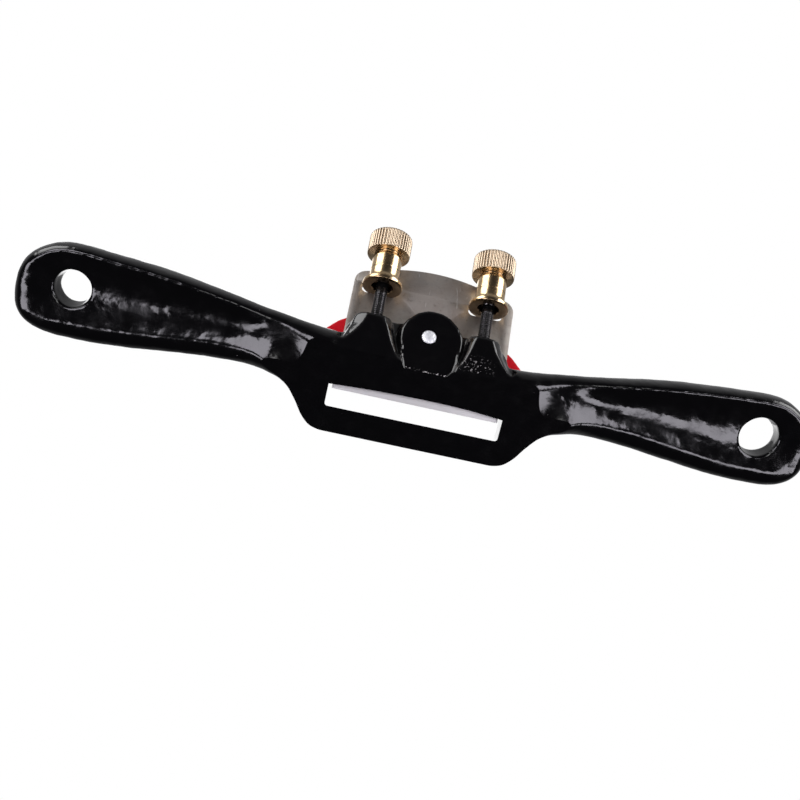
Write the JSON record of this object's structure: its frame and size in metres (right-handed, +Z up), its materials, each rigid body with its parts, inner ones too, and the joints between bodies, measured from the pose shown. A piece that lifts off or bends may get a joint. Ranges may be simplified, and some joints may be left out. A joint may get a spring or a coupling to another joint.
{
  "type": "spokeshave",
  "caption": "Flat-soled metal spokeshave with two straight handles, a sloping iron held by a lever cap, and knurled nuts on studs that feed the iron.",
  "frame": {"origin": "on the flat sole, in the middle of the tool's length, on the land 5 mm behind the mouth's heel edge", "axes": "+X along the handles, +Y from toe to heel, +Z up from the sole, which faces -Z and rests on z = 0; left is +X"},
  "size_m": [0.254, 0.0614, 0.0456],
  "materials": {
    "black_paint": "gloss black paint over cast iron",
    "iron_steel": "ground tool steel, slightly worn",
    "red_paint": "gloss red paint over cast iron",
    "bright_steel": "bright plated steel",
    "brass": "turned and knurled brass",
    "black_steel": "black oxide"
  },
  "bodies": {
    "body": {"body": "black_paint", "left_adjusting_stud": "black_steel", "right_adjusting_stud": "black_steel"},
    "cutting_iron": {"cutting_iron": "iron_steel"},
    "left_adjusting_nut": {"left_adjusting_nut": "brass"},
    "right_adjusting_nut": {"right_adjusting_nut": "brass"},
    "lever_cap": {"lever_cap": "red_paint"},
    "lever_cap_screw": {"lever_cap_screw": "bright_steel"},
    "thumb_screw": {"thumb_screw": "brass"}
  },
  "joints": [
    {"name": "blade_feed", "type": "slide", "parent": "body", "child": "cutting_iron", "axis": [0, 0.7071, 0.7071], "range_m": [-0.003, 0.005]},
    {"name": "left_nut_turn", "type": "hinge", "parent": "cutting_iron", "child": "left_adjusting_nut", "pos_m": [0.0171, 0.03, 0.02864], "axis": [0, 0.7071, 0.7071], "range_deg": [-1542.9, 2571.5]},
    {"name": "right_nut_turn", "type": "hinge", "parent": "cutting_iron", "child": "right_adjusting_nut", "pos_m": [-0.0171, 0.03, 0.02864], "axis": [0, 0.7071, 0.7071], "range_deg": [-1542.9, 2571.5]},
    {"name": "lever_cap_release", "type": "slide", "parent": "body", "child": "lever_cap", "axis": [0, 0.7071, 0.7071], "range_m": [0, 0.008]},
    {"name": "thumb_screw_turn", "type": "hinge", "parent": "lever_cap", "child": "thumb_screw", "pos_m": [0, 0.02152, 0.02652], "axis": [0, -0.7071, 0.7071], "range_deg": [0, 1080]},
    {"name": "cap_screw_turn", "type": "hinge", "parent": "body", "child": "lever_cap_screw", "pos_m": [0, 0.00879, 0.01379], "axis": [0, -0.7071, 0.7071], "range_deg": [0, 1080]}
  ],
  "couplings": [
    {"joint": "left_nut_turn", "follows": "blade_feed", "rad_per_m": 8976},
    {"joint": "right_nut_turn", "follows": "blade_feed", "rad_per_m": 8976}
  ]
}
